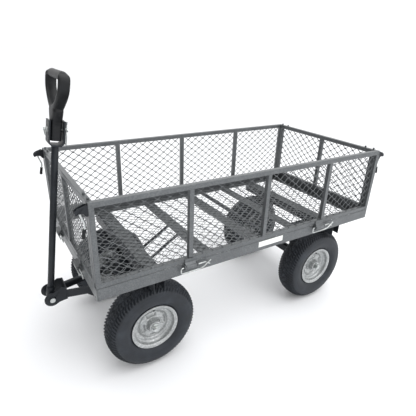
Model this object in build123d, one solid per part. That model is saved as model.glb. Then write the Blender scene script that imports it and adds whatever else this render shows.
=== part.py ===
from build123d import *

import os
from math import asin, atan2, degrees, hypot

# Garden cart: a steel deck on four pneumatic wheels, with fold-down mesh sides, a steered front
# axle and a tow handle. All sizes are in millimetres. X points forwards to the handle, Y to the
# left, Z up. Sizes are laid out about the middle of the deck, on the ground, and every node is
# moved back by ORIGIN_X when it is written, so that the origin is under the middle of the whole cart.

# Deck
DECK_LENGTH = 1220.0
DECK_WIDTH = 610.0
DECK_BOTTOM = 380.0
RAIL_HEIGHT = 40.0
RAIL_FLANGE = 30.0
SHEET = 3.0
STRAP_WIDTH = 50.0
STRAP_CENTRES = (400.0, 190.0, -25.0, -237.0, -420.0)
FLOOR_MARGIN = 2.0

# Expanded-metal mesh: long and short pitch of the diamonds, strand width and sheet thickness
MESH_LONG = 40.0
MESH_SHORT = 30.0
MESH_STRAND = 2.6
MESH_SHEET = 2.0
MESH_EDGE = 2.0

# Sides and gates, in square tube: the sides run the whole length, the gates stand between them
BAR = 16.0
BAR_WALL = 1.5
BAR_PLUG = 6.0
SIDE_POSTS = (300.0, -8.0, -316.0)
GATE_POSTS = (0.0,)
CAGE_TOP = 689.0
LIFT = 1.0
CORNER_GAP = 2.0

# Hinges of the sides and gates: a wire pin in a knuckle between two lugs
HINGE_OUT = 10.0
HINGE_DROP = 8.0
HINGE_PIN_R = 3.0
KNUCKLE_R = 8.0
KNUCKLE_LENGTH = 40.0
LUG_SHEET = 5.0
LEAF_SHEET = 4.0
LEAF_FOOT = 15.0
HINGE_END_PLAY = 0.5
PIN_TAIL = 42.0
PIN_NOSE = 12.0
PIN_DROP = 19.0
SIDE_HINGES = (-295.0, 305.0)
GATE_HINGES = (-130.0, 130.0)
RUNNING = 0.05

# Wheels
TYRE_R = 165.0
TYRE_WIDTH = 100.0
TYRE_WALL = 7.0
RIM_R = 86.0
SEAT_R = 76.0
RIM_HALF = 42.0
RIM_SHEET = 3.0
TRACK = 440.0
FRONT_AXLE_X = 412.0
REAR_AXLE_X = -385.0
REAR_BOLSTER_X = -420.0
HUB_R = 21.0
HUB_HALF = 40.0
BEARING_R = 17.5
BEARING_WIDTH = 11.0
SPINDLE_R = 8.0
NUT_R = 13.0
WHEEL_NUT = 9.0

# Axles and underframe
BEAM = 30.0
BEAM_HALF = 160.0
BOLSTER_HEIGHT = 40.0
PEDESTAL = 80.0
PLATE = 6.0
TURN_Z = 261.0
STAY_WIDTH = 20.0
STAY_SHEET = 5.0
REAR_STAY_Y = 136.0
FRONT_STAY_Y = 46.0
BRACE_BAR_X = -110.0
BRACE_BAR_WIDTH = 24.0
KING_R = 10.0
KING_NUT = 12.0
WASHER = 2.0
WASHER_GAP = 0.1
TURNTABLE_R = 60.0
RISER_Y = 100.0
TUBE_SECTION_R = 30.0
VALVE_R = 3.0

# Drawbar and handle
PIVOT_X = 696.0
PIVOT_Z = 238.0
DRAWBAR_Z = 230.0
DRAWBAR_HEIGHT = 25.0
DRAWBAR_FLANGE = 14.0
CHEEK_SHEET = 4.0
CHEEK_Y = 30.0
LOBE_R = 26.0
KNUCKLE_BACK = 645.0
BOLT_R = 6.0
TUBE_R = 11.0
TUBE_WALL = 2.0
REST_GAP = 6.0
CLEVIS_LOW = 537.0
CLEVIS_HIGH = 615.0
CLEVIS_DEPTH = 48.0
CLEVIS_WIDTH = 46.0
CLEVIS_SHEET = 5.0
HITCH_PIN_H = 586.0
HITCH_PIN_R = 6.0
GRIP_HALF = 92.0
GRIP_BAR_H = 746.0
GRIP_BAR_R = 15.5
GRIP_BAND_R = 17.0
FOOT_R = 14.0
SOCKET_HEIGHT = 34.0
PIN_END = 12.0
RING_EAR = 3.0
RING_R = 9.0
RING_WIRE_R = 1.5
CLIP_R = 1.5
CLIP_DROP = 44.0

# Latches at the cage's corners
LATCH_REACH = 34.0
LATCH_Z = 668.0
LATCH_OUT = 22.0
LEVER_R = 2.75
SLEEVE_R = 5.5
PEG_R = 4.0
PEG_HEIGHT = 7.0
LATCH_PIN_R = 3.0
SLEEVE_LENGTH = 27.0

LABEL = (-103.0, 14.0, 395.0, 417.0)
LABEL_SHEET = 0.6

HALF_LENGTH = DECK_LENGTH / 2
HALF_WIDTH = DECK_WIDTH / 2
RAIL_TOP = DECK_BOTTOM + RAIL_HEIGHT
CAGE_BOTTOM = RAIL_TOP + LIFT
HINGE_Z = RAIL_TOP - HINGE_DROP
AXLE_BOTTOM = TYRE_R - BEAM / 2
AXLE_TOP = TYRE_R + BEAM / 2
BOLSTER_LOW = DECK_BOTTOM - BOLSTER_HEIGHT
UPPER_PLATE = TURN_Z + WASHER + WASHER_GAP
LEAN = atan2(PIVOT_X - HALF_LENGTH, CAGE_TOP - PIVOT_Z) - asin(
    (TUBE_R + REST_GAP) / hypot(PIVOT_X - HALF_LENGTH, CAGE_TOP - PIVOT_Z)
)
LATCH_Y = HALF_WIDTH - BAR / 2
GATE_HALF = HALF_WIDTH - BAR - CORNER_GAP


def block(x, y, z):
    """A box between the low and high value given on each axis."""
    size = Box(x[1] - x[0], y[1] - y[0], z[1] - z[0])
    return Pos((x[0] + x[1]) / 2, (y[0] + y[1]) / 2, (z[0] + z[1]) / 2) * size


def rod(start, end, radius, bore=0.0):
    """A round bar, or a tube where bore is given, from one point to another."""
    axis = Vector(*end) - Vector(*start)
    plane = Plane(origin=start, z_dir=axis)
    section = Circle(radius) - Circle(bore) if bore else Circle(radius)
    return extrude(plane * section, axis.length)


def slab(profile, axis, low, high):
    """A flat profile given thickness from low to high along X, Y or Z, in the plane of the other two."""
    plane = {"X": Plane.YZ, "Y": Plane.XZ, "Z": Plane.XY}[axis]
    step = {"X": (1, 0, 0), "Y": (0, 1, 0), "Z": (0, 0, 1)}[axis]
    solid = extrude(plane * profile, (high - low) / 2, both=True)
    return Pos(*(part * (low + high) / 2 for part in step)) * solid


def mirrored(shapes):
    """The given left-hand solids and their mirror images on the right."""
    return list(shapes) + [mirror(shape, Plane.XZ) for shape in shapes]


def about_axle(profile, x, y):
    """A solid of revolution on a wheel's axle, from a profile in radius and outboard distance."""
    turned = revolve(Plane.YZ * profile, Axis.Y)
    return Pos(x, y, TYRE_R) * turned


def origin_x():
    """The middle of the whole cart's length, from the rear latch levers to the drawbar's front lobe."""
    latch = latch_bracket() + latch_lever() + latch_sleeve()
    reach = max(solid.bounding_box().max.X for solid in latch)
    return (PIVOT_X + LOBE_R - reach) / 2


def save(node, shapes):
    """Writes a node's solids, moved to the cart's origin."""
    solids = []
    for shape in shapes:
        solids.extend(shape.solids())
    placed = [Pos(-ORIGIN_X, 0, 0) * solid for solid in solids]
    whole = placed[0] if len(placed) == 1 else Compound(children=placed)
    export_step(whole, f"parts/{node}.step", write_pcurves=False)


def diamond_mesh(low_u, high_u, low_v, high_v):
    """A flat sheet of expanded metal as a face: rows of diamonds, each row shifted by half a pitch."""
    middle = Pos((low_u + high_u) / 2, (low_v + high_v) / 2)
    border = middle * Rectangle(high_u - low_u - 2 * MESH_EDGE, high_v - low_v - 2 * MESH_EDGE)
    diagonal = hypot(MESH_LONG, MESH_SHORT)
    half_u = MESH_LONG / 2 - MESH_STRAND / 2 * diagonal / MESH_SHORT
    half_v = MESH_SHORT / 2 - MESH_STRAND / 2 * diagonal / MESH_LONG
    columns = int((high_u - low_u) / MESH_LONG * 2) + 2
    rows = int((high_v - low_v) / MESH_SHORT * 2) + 2
    holes = []
    for row in range(rows):
        for column in range(row % 2, columns, 2):
            u = low_u + column * MESH_LONG / 2
            v = low_v + row * MESH_SHORT / 2
            corners = ((u + half_u, v), (u, v + half_v), (u - half_u, v), (u, v - half_v))
            wire = Wire.make_polygon(corners, close=True)
            inside_u = low_u + MESH_EDGE < u - half_u and u + half_u < high_u - MESH_EDGE
            inside_v = low_v + MESH_EDGE < v - half_v and v + half_v < high_v - MESH_EDGE
            if inside_u and inside_v:
                holes.append(wire)
                continue
            clipped = Face(wire) & border
            if clipped:
                holes.extend(face.outer_wire() for face in clipped.faces() if face.area > MESH_STRAND**2)
    sheet = middle * Rectangle(high_u - low_u, high_v - low_v)
    return Face(sheet.face().outer_wire(), holes)


def angle_profile():
    """Section of a deck rail: an upright web with its flange turned in at the bottom."""
    points = (
        (HALF_WIDTH, DECK_BOTTOM),
        (HALF_WIDTH, RAIL_TOP),
        (HALF_WIDTH - SHEET, RAIL_TOP),
        (HALF_WIDTH - SHEET, DECK_BOTTOM + SHEET),
        (HALF_WIDTH - RAIL_FLANGE, DECK_BOTTOM + SHEET),
        (HALF_WIDTH - RAIL_FLANGE, DECK_BOTTOM),
    )
    return Polygon(*points, align=None)


def deck_side_rails():
    """Angle rails along both sides."""
    length = DECK_LENGTH - 2 * SHEET
    return mirrored([slab(angle_profile(), "X", -length / 2, length / 2)])


def deck_end_rails():
    """Angle rails across the front and the rear, butted against the side rails."""
    rails = []
    for side in (-1, 1):
        web = block(
            sorted((side * (HALF_LENGTH - SHEET), side * HALF_LENGTH)),
            (-HALF_WIDTH, HALF_WIDTH),
            (DECK_BOTTOM, RAIL_TOP),
        )
        flange = block(
            sorted((side * (HALF_LENGTH - RAIL_FLANGE), side * (HALF_LENGTH - SHEET))),
            (RAIL_FLANGE - HALF_WIDTH, HALF_WIDTH - RAIL_FLANGE),
            (DECK_BOTTOM, DECK_BOTTOM + SHEET),
        )
        rails.append(web + flange)
    return rails


def deck_straps():
    """Flat straps across the deck, level with the rails' flanges."""
    half = HALF_WIDTH - RAIL_FLANGE
    straps = []
    for x in STRAP_CENTRES:
        strap = block(
            (x - STRAP_WIDTH / 2, x + STRAP_WIDTH / 2),
            (-half, half),
            (DECK_BOTTOM, DECK_BOTTOM + SHEET),
        )
        straps.append(strap)
    return straps


def deck_floor():
    """The expanded-metal floor, lying on the straps and the flanges."""
    u = HALF_LENGTH - SHEET - FLOOR_MARGIN
    v = HALF_WIDTH - BAR - FLOOR_MARGIN
    low = DECK_BOTTOM + SHEET
    return [slab(diamond_mesh(-u, u, -v, v), "Z", low, low + MESH_SHEET)]


def label_plate():
    """A thin blank plate on the left rail."""
    face = HALF_WIDTH
    return [block(LABEL[:2], (face, face + LABEL_SHEET), LABEL[2:])]


def hinge_section():
    """Side view of a hinge lug, from the rail's face out around the pin."""
    plate = Polygon((0, -14), (0, HINGE_DROP - LIFT), (HINGE_OUT, KNUCKLE_R), (HINGE_OUT, -KNUCKLE_R), align=None)
    ear = plate + Pos(HINGE_OUT, 0) * Circle(KNUCKLE_R)
    return ear - Pos(HINGE_OUT, 0) * Circle(HINGE_PIN_R)


def leaf_section():
    """Side view of a hinge leaf: a foot on the panel's bottom bar and an arm to the knuckle."""
    low = HINGE_DROP + 2 * LIFT
    arm = Polygon(
        (0, low),
        (0, low + LEAF_FOOT),
        (LEAF_SHEET, low + LEAF_FOOT),
        (LEAF_SHEET, low + 3),
        (HINGE_OUT + 4, 5),
        (HINGE_OUT - 6, 0),
        align=None,
    )
    knuckle = arm + Pos(HINGE_OUT, 0) * Circle(KNUCKLE_R - 0.5)
    return knuckle - Pos(HINGE_OUT, 0) * Circle(HINGE_PIN_R + RUNNING)


def hinge_wire():
    """A wire hinge pin in its own plane: it runs through the knuckle, turns down and comes back below."""
    nose = KNUCKLE_LENGTH / 2 + LUG_SHEET + PIN_NOSE
    tail = -(KNUCKLE_LENGTH / 2 + LUG_SHEET + PIN_TAIL)
    pinch = HINGE_PIN_R * 2 + 2
    path = FilletPolyline(
        (tail, 0),
        (nose, 0),
        (nose, -PIN_DROP),
        (tail * 0.55, -PIN_DROP),
        (tail * 0.8, -pinch),
        (tail, -PIN_DROP + 4),
        radius=5,
    )
    return path


def placed_hinge(solids, edge, along, quarter):
    """Hinge solids drawn with the pin along X at a left-hand rail, moved along it and turned to its side."""
    moved = [Pos(along, edge, HINGE_Z) * solid for solid in solids]
    return [Rot(0, 0, quarter) * solid for solid in moved]


def lug_pair():
    """The two lugs of one hinge, drawn about the middle of the knuckle."""
    inner = KNUCKLE_LENGTH / 2 + HINGE_END_PLAY
    return [slab(hinge_section(), "X", low, low + LUG_SHEET) for low in (inner, -inner - LUG_SHEET)]


def hinge_leaf():
    """One hinge leaf with its knuckle."""
    return [slab(leaf_section(), "X", -KNUCKLE_LENGTH / 2, KNUCKLE_LENGTH / 2)]


def hinge_pin():
    """One wire pin, on the hinge's axis."""
    path = Pos(0, HINGE_OUT, 0) * (Plane.XZ * hinge_wire())
    start = path @ 0
    section = Plane(origin=start, z_dir=path % 0) * Circle(HINGE_PIN_R)
    return [sweep(section, path)]


def hinge_row(make, quarter, stations):
    """One kind of hinge piece at each station along the rail on the side given by quarter."""
    edge = HALF_WIDTH if quarter in (0, 180) else HALF_LENGTH
    pieces = []
    for station in stations:
        pieces.extend(placed_hinge(make(), edge, station, quarter))
    return pieces


def tube(x, y, z, along):
    """A square tube between the low and high value given on each axis, open at both ends."""
    spans = [x, y, z]
    bore = [(low + BAR_WALL, high - BAR_WALL) for low, high in spans]
    bore[along] = spans[along]
    return block(*spans) - block(*bore)


def end_plug(x, z):
    """The square plug pressed into the open end of a rail."""
    return block(x, (-BAR + BAR_WALL, -BAR_WALL), (z + BAR_WALL, z + BAR - BAR_WALL))


def panel_bars(length, posts, ends):
    """Bars of a panel lying along X in its own plane: two rails, two end posts and the uprights between."""
    low, high = CAGE_BOTTOM + BAR, CAGE_TOP - BAR
    bars = []
    for z in (CAGE_BOTTOM, high):
        bars.append(tube((-length, length), (-BAR, 0), (z, z + BAR), 0))
        bars.append(end_plug((-length, -length + BAR_PLUG), z))
        bars.append(end_plug((length - BAR_PLUG, length), z))
    for x in (-length + BAR / 2, *posts, length - BAR / 2):
        bars.append(tube((x - BAR / 2, x + BAR / 2), (-BAR, 0), (low, high), 2))
    for x in ends:
        bars.append(rod((x, -BAR / 2, CAGE_TOP), (x, -BAR / 2, CAGE_TOP + PEG_HEIGHT), PEG_R))
    return bars


def panel_mesh(length, posts):
    """The mesh panes of a panel, one in each bay between its uprights, in the middle of the bars."""
    stations = sorted([-length + BAR / 2, *posts, length - BAR / 2])
    panes = []
    for left, right in zip(stations[:-1], stations[1:]):
        face = diamond_mesh(left + BAR / 2, right - BAR / 2, CAGE_BOTTOM + BAR, CAGE_TOP - BAR)
        panes.append(slab(face, "Y", -BAR / 2 - MESH_SHEET / 2, -BAR / 2 + MESH_SHEET / 2))
    return panes


def side_placed(shapes):
    """Panel solids moved to the left side."""
    return [Pos(0, HALF_WIDTH, 0) * shape for shape in shapes]


def gate_placed(shapes, quarter):
    """Panel solids moved to the rear or front end."""
    return [Rot(0, 0, quarter) * (Pos(0, HALF_LENGTH, 0) * shape) for shape in shapes]


def tyre_profile():
    """Half section of a tyre: crown, shoulders, bulging walls and two beads, hollow inside."""
    half = TYRE_WIDTH / 2
    bead = RIM_HALF - RIM_SHEET - 1
    outer = [
        (bead, SEAT_R + 0.3),
        (bead, RIM_R + 1),
        (half - 3, RIM_R + 14),
        (half, RIM_R + 34),
        (half - 4, TYRE_R - 22),
        (half - 15, TYRE_R - 6),
        (half - 34, TYRE_R),
    ]
    inner = [
        (half - 34, TYRE_R - TYRE_WALL - 3),
        (half - 17 - TYRE_WALL, TYRE_R - 6 - TYRE_WALL),
        (half - TYRE_WALL, RIM_R + 34),
        (bead - TYRE_WALL, RIM_R + 4),
        (bead - 12, SEAT_R + 0.3),
    ]
    ring = outer + [(-x, y) for x, y in reversed(outer)]
    hollow = inner + [(-x, y) for x, y in reversed(inner)]
    return Polygon(*ring, align=None) - Polygon(*hollow, align=None)


def tyre(x):
    """A tyre, turned from its half-hollow section."""
    return [about_axle(tyre_profile(), x, TRACK / 2)]


def inner_tube(x):
    """The thin air tube inside a tyre."""
    middle = (TYRE_R - TYRE_WALL + SEAT_R) / 2
    section = Pos(0, middle) * (Circle(TUBE_SECTION_R) - Circle(TUBE_SECTION_R - SHEET))
    return [about_axle(section, x, TRACK / 2)]


def rim(x):
    """A pressed rim: the barrel with its two flanges and drop centre, and the dished disc welded inside it."""
    seat = SEAT_R - RIM_SHEET / 2
    well = SEAT_R - 10
    edge = RIM_HALF - RIM_SHEET / 2
    barrel = [
        (-edge, RIM_R),
        (-edge, seat),
        (-18, seat),
        (-12, well),
        (12, well),
        (18, seat),
        (edge, seat),
        (edge, RIM_R),
    ]
    disc = [
        (8, well - RIM_SHEET),
        (12, well - 10),
        (20, well - 18),
        (20, HUB_R + 14),
        (14, HUB_R + 6),
        (14, HUB_R + RIM_SHEET / 2),
    ]
    return [
        about_axle(trace(Polyline(*barrel), RIM_SHEET), x, TRACK / 2),
        about_axle(trace(Polyline(*disc), RIM_SHEET), x, TRACK / 2),
    ]


def hub(x):
    """The hub tube, bored out at each end for a bearing."""
    y = TRACK / 2
    sleeve = rod((x, y - HUB_HALF, TYRE_R), (x, y + HUB_HALF, TYRE_R), HUB_R, SPINDLE_R + 3)
    for low in (y - HUB_HALF, y + HUB_HALF - BEARING_WIDTH):
        sleeve -= rod((x, low, TYRE_R), (x, low + BEARING_WIDTH, TYRE_R), BEARING_R)
    return [sleeve]


def hub_bearings(x):
    """A ball bearing at each end of the hub, running on the spindle."""
    y = TRACK / 2
    rings = []
    for low in (y - HUB_HALF, y + HUB_HALF - BEARING_WIDTH):
        rings.append(rod((x, low, TYRE_R), (x, low + BEARING_WIDTH, TYRE_R), BEARING_R, SPINDLE_R + RUNNING))
    return rings


def valve(x):
    """The tube's valve stem, standing out of the rim's drop centre."""
    y = TRACK / 2
    foot = TYRE_R + SEAT_R - 10 - RIM_SHEET
    return [rod((x, y + 22, foot - 6), (x, y + 38, foot - 10), VALVE_R)]


def wheel_hardware(x):
    """A washer on each face of the hub and the nut on the spindle's end."""
    y = TRACK / 2 + HUB_HALF + 0.3
    inner = TRACK / 2 - HUB_HALF - 0.3
    washer = rod((x, y, TYRE_R), (x, y + SHEET, TYRE_R), NUT_R + 3, SPINDLE_R)
    spacer = rod((x, BEAM_HALF, TYRE_R), (x, inner, TYRE_R), NUT_R, SPINDLE_R)
    nut = slab(Pos(x, TYRE_R) * RegularPolygon(NUT_R, 6), "Y", y + SHEET, y + SHEET + WHEEL_NUT)
    nut -= rod((x, y, TYRE_R), (x, y + 20, TYRE_R), SPINDLE_R)
    return [washer, spacer, nut]


def axle_beam(x):
    """The square axle beam."""
    half = BEAM / 2
    beam = block((x - half, x + half), (-BEAM_HALF, BEAM_HALF), (AXLE_BOTTOM, AXLE_TOP))
    inside = half - SHEET
    return [beam - block((x - inside, x + inside), (-BEAM_HALF, BEAM_HALF), (TYRE_R - inside, TYRE_R + inside))]


def spindles(x):
    """A round spindle at each end of a beam, with the plug that is welded into the beam."""
    half = BEAM / 2 - SHEET
    plug = block((x - half, x + half), (BEAM_HALF - 40, BEAM_HALF), (TYRE_R - half, TYRE_R + half))
    end = TRACK / 2 + HUB_HALF + 0.3 + SHEET + 12
    return mirrored([plug + rod((x, BEAM_HALF, TYRE_R), (x, end, TYRE_R), SPINDLE_R)])


def bolster(x):
    """A channel across the deck above an axle."""
    half = BOLSTER_HEIGHT / 2
    beam = block((x - half, x + half), (-HALF_WIDTH + SHEET, HALF_WIDTH - SHEET), (BOLSTER_LOW, DECK_BOTTOM))
    inside = half - SHEET
    return beam - block((x - inside, x + inside), (-HALF_WIDTH, HALF_WIDTH), (BOLSTER_LOW, DECK_BOTTOM - SHEET))


def front_pedestal():
    """The square post under the bolster, with the upper turntable plate welded to its foot."""
    half = PEDESTAL / 2
    x = FRONT_AXLE_X
    post = block((x - half, x + half), (-half, half), (UPPER_PLATE + PLATE, BOLSTER_LOW))
    inside = half - SHEET
    post -= block((x - inside, x + inside), (-inside, inside), (UPPER_PLATE, BOLSTER_LOW))
    plate = rod((x, 0, UPPER_PLATE), (x, 0, UPPER_PLATE + PLATE), TURNTABLE_R, KING_R)
    return [post, plate]


def king_bolt():
    """The bolt that the front axle turns on, with its head on the upper plate and its nut below."""
    x = FRONT_AXLE_X
    head = UPPER_PLATE + PLATE
    nut = TURN_Z - PLATE - RUNNING - KING_NUT
    shank = rod((x, 0, nut - 4), (x, 0, head), KING_R)
    for low, high in ((head, head + KING_NUT), (nut, nut + KING_NUT)):
        shank += slab(Pos(x, 0) * RegularPolygon(KING_R * 1.7, 6), "Z", low, high)
    return [shank]


def slanted_bar(low, high, depth):
    """Corners of a bar from a low point to a high point, with level ends of the given length in X."""
    return ((low[0], low[1]), (high[0], high[1]), (high[0] + depth, high[1]), (low[0] + depth, low[1]))


def front_stays():
    """Two flat bars from the upper turntable plate back and up to a deck strap."""
    foot = (FRONT_AXLE_X - TURNTABLE_R + STAY_WIDTH, UPPER_PLATE + PLATE)
    head = (STRAP_CENTRES[1] + 4, DECK_BOTTOM)
    corners = slanted_bar(foot, head, STAY_WIDTH)
    return mirrored([slab(Polygon(*corners, align=None), "Y", FRONT_STAY_Y - STAY_SHEET, FRONT_STAY_Y)])


def rear_hangers():
    """Two plates that widen upwards from the rear axle to the bolster."""
    x = REAR_AXLE_X
    corners = (
        (x - 30, AXLE_TOP),
        (x + 30, AXLE_TOP),
        (x + 70, BOLSTER_LOW - 24),
        (x + 70, BOLSTER_LOW),
        (x - 70, BOLSTER_LOW),
        (x - 70, BOLSTER_LOW - 24),
    )
    inner = REAR_STAY_Y - PLATE - STAY_SHEET
    return mirrored([slab(Polygon(*corners, align=None), "Y", inner, inner + PLATE)])


def rear_stays():
    """Two flat bars from the rear axle forwards and up to the brace bar."""
    foot = (REAR_AXLE_X - 10, AXLE_TOP)
    head = (BRACE_BAR_X - STAY_WIDTH / 2, DECK_BOTTOM - PLATE)
    corners = slanted_bar(foot, head, STAY_WIDTH)
    return mirrored([slab(Polygon(*corners, align=None), "Y", REAR_STAY_Y - STAY_SHEET, REAR_STAY_Y)])


def brace_bar():
    """The flat bar across the deck that the rear stays are bolted to."""
    half = BRACE_BAR_WIDTH / 2
    x = (BRACE_BAR_X - half, BRACE_BAR_X + half)
    return [block(x, (-HALF_WIDTH + SHEET, HALF_WIDTH - SHEET), (DECK_BOTTOM - PLATE, DECK_BOTTOM))]


def axle_risers():
    """Two plates that stand on the front beam and carry the lower turntable plate."""
    x = FRONT_AXLE_X
    return mirrored([block((x - 30, x + 30), (RISER_Y, RISER_Y + PLATE), (AXLE_TOP, TURN_Z - PLATE))])


def turntable():
    """The lower turntable plate, which turns on the king bolt."""
    x = FRONT_AXLE_X
    plate = block((x - 50, x + 50), (-RISER_Y - PLATE, RISER_Y + PLATE), (TURN_Z - PLATE, TURN_Z))
    return [plate - rod((x, 0, TURN_Z - PLATE), (x, 0, TURN_Z), KING_R + RUNNING)]


def turntable_washer():
    """The nylon disc between the two turntable plates."""
    x = FRONT_AXLE_X
    return [rod((x, 0, TURN_Z), (x, 0, TURN_Z + WASHER), KING_R * 3, KING_R + RUNNING)]


def drawbar_arm():
    """One channel-section arm of the drawbar: straight at the knuckle, then spreading to the axle."""
    outer = ((KNUCKLE_BACK, CHEEK_Y + 4), (570, 50), (FRONT_AXLE_X - 40, 92))

    def strip(depth, low, high):
        inner = [(x, y - depth) for x, y in reversed(outer)]
        return slab(Polygon(*outer, *inner, align=None), "Z", low, high)

    top = DRAWBAR_Z + DRAWBAR_HEIGHT
    web = strip(SHEET, DRAWBAR_Z, top)
    return web + strip(DRAWBAR_FLANGE, DRAWBAR_Z, DRAWBAR_Z + SHEET) + strip(DRAWBAR_FLANGE, top - SHEET, top)


def cheek_outline():
    """Side view of a knuckle cheek: a round lobe on the pivot, widening back to the rear web."""
    back = KNUCKLE_BACK + CHEEK_SHEET
    body = Polygon(
        (back, DRAWBAR_Z - 6),
        (back, DRAWBAR_Z + 44),
        (back + 14, DRAWBAR_Z + 46),
        (PIVOT_X - 6, PIVOT_Z + LOBE_R - 1),
        (PIVOT_X - 9, PIVOT_Z - LOBE_R + 2),
        (PIVOT_X - 24, PIVOT_Z - 17),
        align=None,
    )
    return body + Pos(PIVOT_X, PIVOT_Z) * Circle(LOBE_R)


def drawbar_knuckle():
    """The forked head of the drawbar: two cheeks joined by a rear web."""
    outline = cheek_outline() - Pos(PIVOT_X, PIVOT_Z) * Circle(BOLT_R)
    cheek = slab(outline, "Y", CHEEK_Y, CHEEK_Y + CHEEK_SHEET)
    web = block(
        (KNUCKLE_BACK, KNUCKLE_BACK + CHEEK_SHEET),
        (-CHEEK_Y - CHEEK_SHEET, CHEEK_Y + CHEEK_SHEET),
        (DRAWBAR_Z - 6, DRAWBAR_Z + 44),
    )
    left, right = mirrored([cheek])
    return [left + web + right]


def pivot_bolt():
    """The bolt across the knuckle, with its head on the left and its nut on the right."""
    end = CHEEK_Y + CHEEK_SHEET
    shank = rod((PIVOT_X, -end - 9, PIVOT_Z), (PIVOT_X, end, PIVOT_Z), BOLT_R)
    head = rod((PIVOT_X, end, PIVOT_Z), (PIVOT_X, end + 6, PIVOT_Z), BOLT_R * 1.5)
    nut = slab(Pos(PIVOT_X, PIVOT_Z) * RegularPolygon(BOLT_R * 1.8, 6), "Y", -end - 7, -end)
    return [shank + head + nut]


def leaned(shapes):
    """Solids of the handle, drawn upright on the pivot, leaned back to rest on the front gate."""
    return [Pos(PIVOT_X, 0, PIVOT_Z) * (Rot(0, -degrees(LEAN), 0) * shape) for shape in shapes]


def handle_foot():
    """The bush that turns on the pivot bolt and the socket that holds the tube."""
    half = CHEEK_Y - 0.5
    bush = rod((0, -half, 0), (0, half, 0), FOOT_R)
    socket = rod((0, 0, 0), (0, 0, SOCKET_HEIGHT), TUBE_R + SHEET)
    socket -= rod((0, 0, FOOT_R), (0, 0, SOCKET_HEIGHT), TUBE_R)
    return leaned([bush + socket - rod((0, -half, 0), (0, half, 0), BOLT_R + RUNNING)])


def handle_tube():
    """The long tube of the handle."""
    return leaned([rod((0, 0, FOOT_R), (0, 0, CLEVIS_LOW), TUBE_R, TUBE_R - TUBE_WALL)])


def hitch_clevis():
    """The open fork at the top of the tube, which hooks onto another vehicle's tow bar."""
    half = CLEVIS_DEPTH / 2
    chamfer = 10
    outline = Polygon(
        (-half, CLEVIS_HIGH),
        (-half, CLEVIS_LOW + chamfer),
        (-half + chamfer, CLEVIS_LOW),
        (half - chamfer, CLEVIS_LOW),
        (half, CLEVIS_LOW + chamfer),
        (half, CLEVIS_HIGH),
        (half - CLEVIS_SHEET, CLEVIS_HIGH),
        (half - CLEVIS_SHEET, CLEVIS_LOW + chamfer + 2),
        (half - chamfer - 2, CLEVIS_LOW + CLEVIS_SHEET),
        (-half + chamfer + 2, CLEVIS_LOW + CLEVIS_SHEET),
        (-half + CLEVIS_SHEET, CLEVIS_LOW + chamfer + 2),
        (-half + CLEVIS_SHEET, CLEVIS_HIGH),
        align=None,
    )
    fork = slab(outline, "Y", -CLEVIS_WIDTH / 2, CLEVIS_WIDTH / 2)
    return leaned([fork - rod((-half, 0, HITCH_PIN_H), (half, 0, HITCH_PIN_H), HITCH_PIN_R)])


def grip_loop():
    """Front view of the grip's two bands and neck: a teardrop with its window."""
    outer = [
        (17, CLEVIS_LOW + 16),
        (17, 602),
        (42, 628),
        (70, 652),
        (88, 676),
        (GRIP_HALF, 704),
        (GRIP_HALF, GRIP_BAR_H),
    ]
    inner = [(0, 658), (26, 674), (56, 690), (76, 706), (80, 720), (80, GRIP_BAR_H)]
    shape = Polygon(*outer, *[(-y, z) for y, z in reversed(outer)], align=None)
    window = Polygon(*inner, *[(-y, z) for y, z in reversed(inner[1:])], align=None)
    return shape - window


def d_grip():
    """The moulded grip: a neck in the clevis, two bands and a round bar across the top."""
    loop = slab(grip_loop(), "X", -GRIP_BAND_R, GRIP_BAND_R)
    bar = rod((0, -GRIP_HALF, GRIP_BAR_H), (0, GRIP_HALF, GRIP_BAR_H), GRIP_BAR_R)
    loop += bar
    for low in (-GRIP_HALF, GRIP_HALF - 12):
        loop += rod((0, low, GRIP_BAR_H), (0, low + 12, GRIP_BAR_H), GRIP_BAND_R)
    slack = 0.4
    return leaned([loop - rod((-GRIP_BAND_R, 0, HITCH_PIN_H), (GRIP_BAND_R, 0, HITCH_PIN_H), HITCH_PIN_R + slack)])


def hitch_pin():
    """The pin through the clevis and the grip's neck, with its head in front and a cross hole behind."""
    half = CLEVIS_DEPTH / 2
    pin = rod((-half - PIN_END, 0, HITCH_PIN_H), (half, 0, HITCH_PIN_H), HITCH_PIN_R)
    pin += rod((half, 0, HITCH_PIN_H), (half + 4, 0, HITCH_PIN_H), HITCH_PIN_R * 1.6)
    ear = block((half + 4, half + 12), (-RING_EAR / 2, RING_EAR / 2), (HITCH_PIN_H - 5, HITCH_PIN_H + 5))
    ear -= rod((half + 8, -RING_EAR, HITCH_PIN_H), (half + 8, RING_EAR, HITCH_PIN_H), RING_WIRE_R + 0.8)
    hole_x = -half - PIN_END / 2
    pin -= rod((hole_x, 0, HITCH_PIN_H - 10), (hole_x, 0, HITCH_PIN_H + 10), CLIP_R + RUNNING)
    return leaned([pin + ear])


def pin_ring():
    """The pull ring that hangs in the ear of the hitch pin."""
    eye = Vector(CLEVIS_DEPTH / 2 + 8, 0, HITCH_PIN_H).rotate(Axis.Y, -degrees(LEAN))
    ring = Torus(RING_R, RING_WIRE_R)
    centre = Vector(PIVOT_X, 0, PIVOT_Z) + eye - Vector(0, 0, RING_R)
    return [Pos(centre.X, centre.Y, centre.Z) * (Rot(0, 90, 0) * ring)]


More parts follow.
